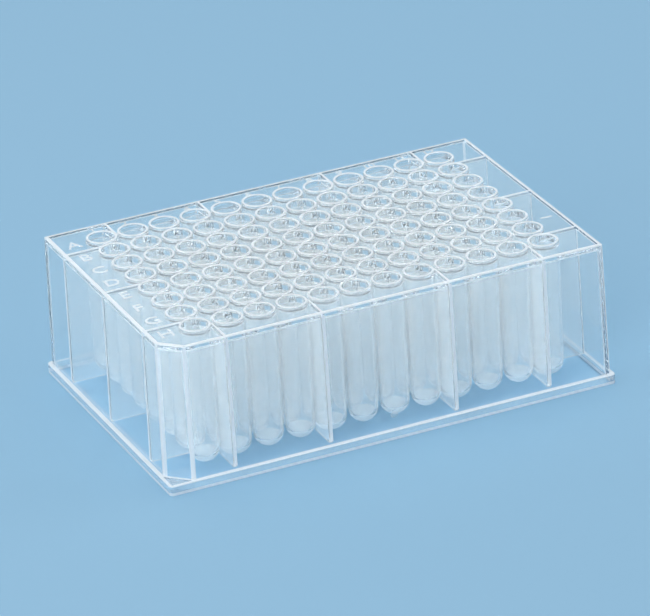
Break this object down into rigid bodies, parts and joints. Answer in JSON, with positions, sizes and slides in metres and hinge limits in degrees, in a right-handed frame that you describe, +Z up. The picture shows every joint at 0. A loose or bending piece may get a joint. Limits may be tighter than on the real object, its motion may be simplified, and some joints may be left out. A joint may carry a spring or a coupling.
{
  "type": "well plate",
  "caption": "Clear one-piece deep-well plate: round-bottomed tubes with raised rims hang from a deck, inside a drafted skirt with a stepped base flange and one notched corner.",
  "frame": {"origin": "centre of the base, on the surface that the plate stands on", "axes": "+X along the columns from the first to the last, +Y towards the first row, +Z up out of the wells' mouths"},
  "size_m": [0.1278, 0.0854, 0.0407],
  "materials": {
    "clear_plastic": "clear, smooth, unpigmented polystyrene-like moulding, a little milky where many walls overlap"
  },
  "bodies": {
    "root": {"plate": "clear_plastic"}
  },
  "joints": []
}
